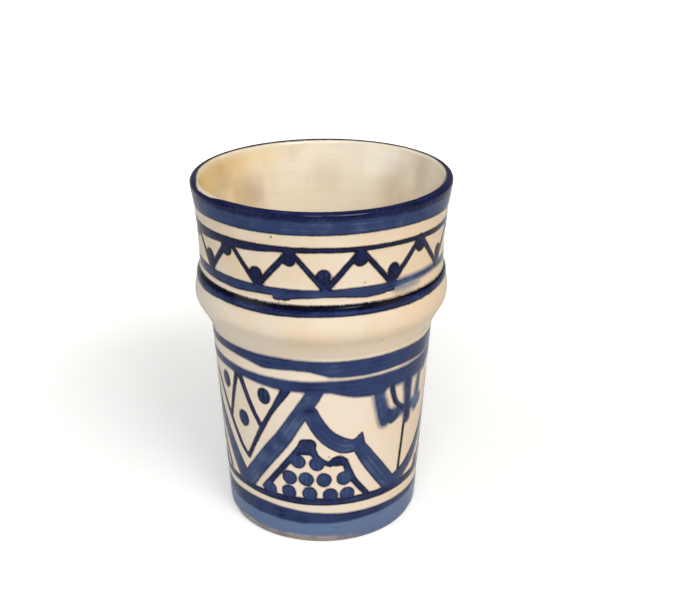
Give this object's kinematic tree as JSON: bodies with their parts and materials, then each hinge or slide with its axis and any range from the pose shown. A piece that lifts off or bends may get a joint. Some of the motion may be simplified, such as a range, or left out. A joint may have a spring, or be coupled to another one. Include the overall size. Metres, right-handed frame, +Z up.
{
  "type": "earthenware cup",
  "caption": "Tapered wheel-thrown earthenware cup with a rounded ridge under a flared collar, cream glaze inside and out, and cobalt bands, for drinking.",
  "frame": {"origin": "centre of the foot ring, on the plane that the cup stands on", "axes": "+Z up along the cup's axis, -Y towards the painted side seen in the picture"},
  "size_m": [0.0782, 0.0782, 0.1112],
  "materials": {
    "fired_clay": "unglazed buff earthenware",
    "cream_glaze": "glossy cream tin glaze",
    "cobalt_paint": "glossy brushed cobalt on glaze"
  },
  "bodies": {
    "root": {"clay_body": "fired_clay", "inside_glaze": "cream_glaze", "outside_glaze": "cream_glaze", "rim_band": "cobalt_paint", "frieze_top_line": "cobalt_paint", "frieze_bottom_line": "cobalt_paint", "ridge_line": "cobalt_paint", "shoulder_band": "cobalt_paint", "panel_top_line": "cobalt_paint", "panel_bottom_line": "cobalt_paint", "foot_band": "cobalt_paint"}
  },
  "joints": []
}
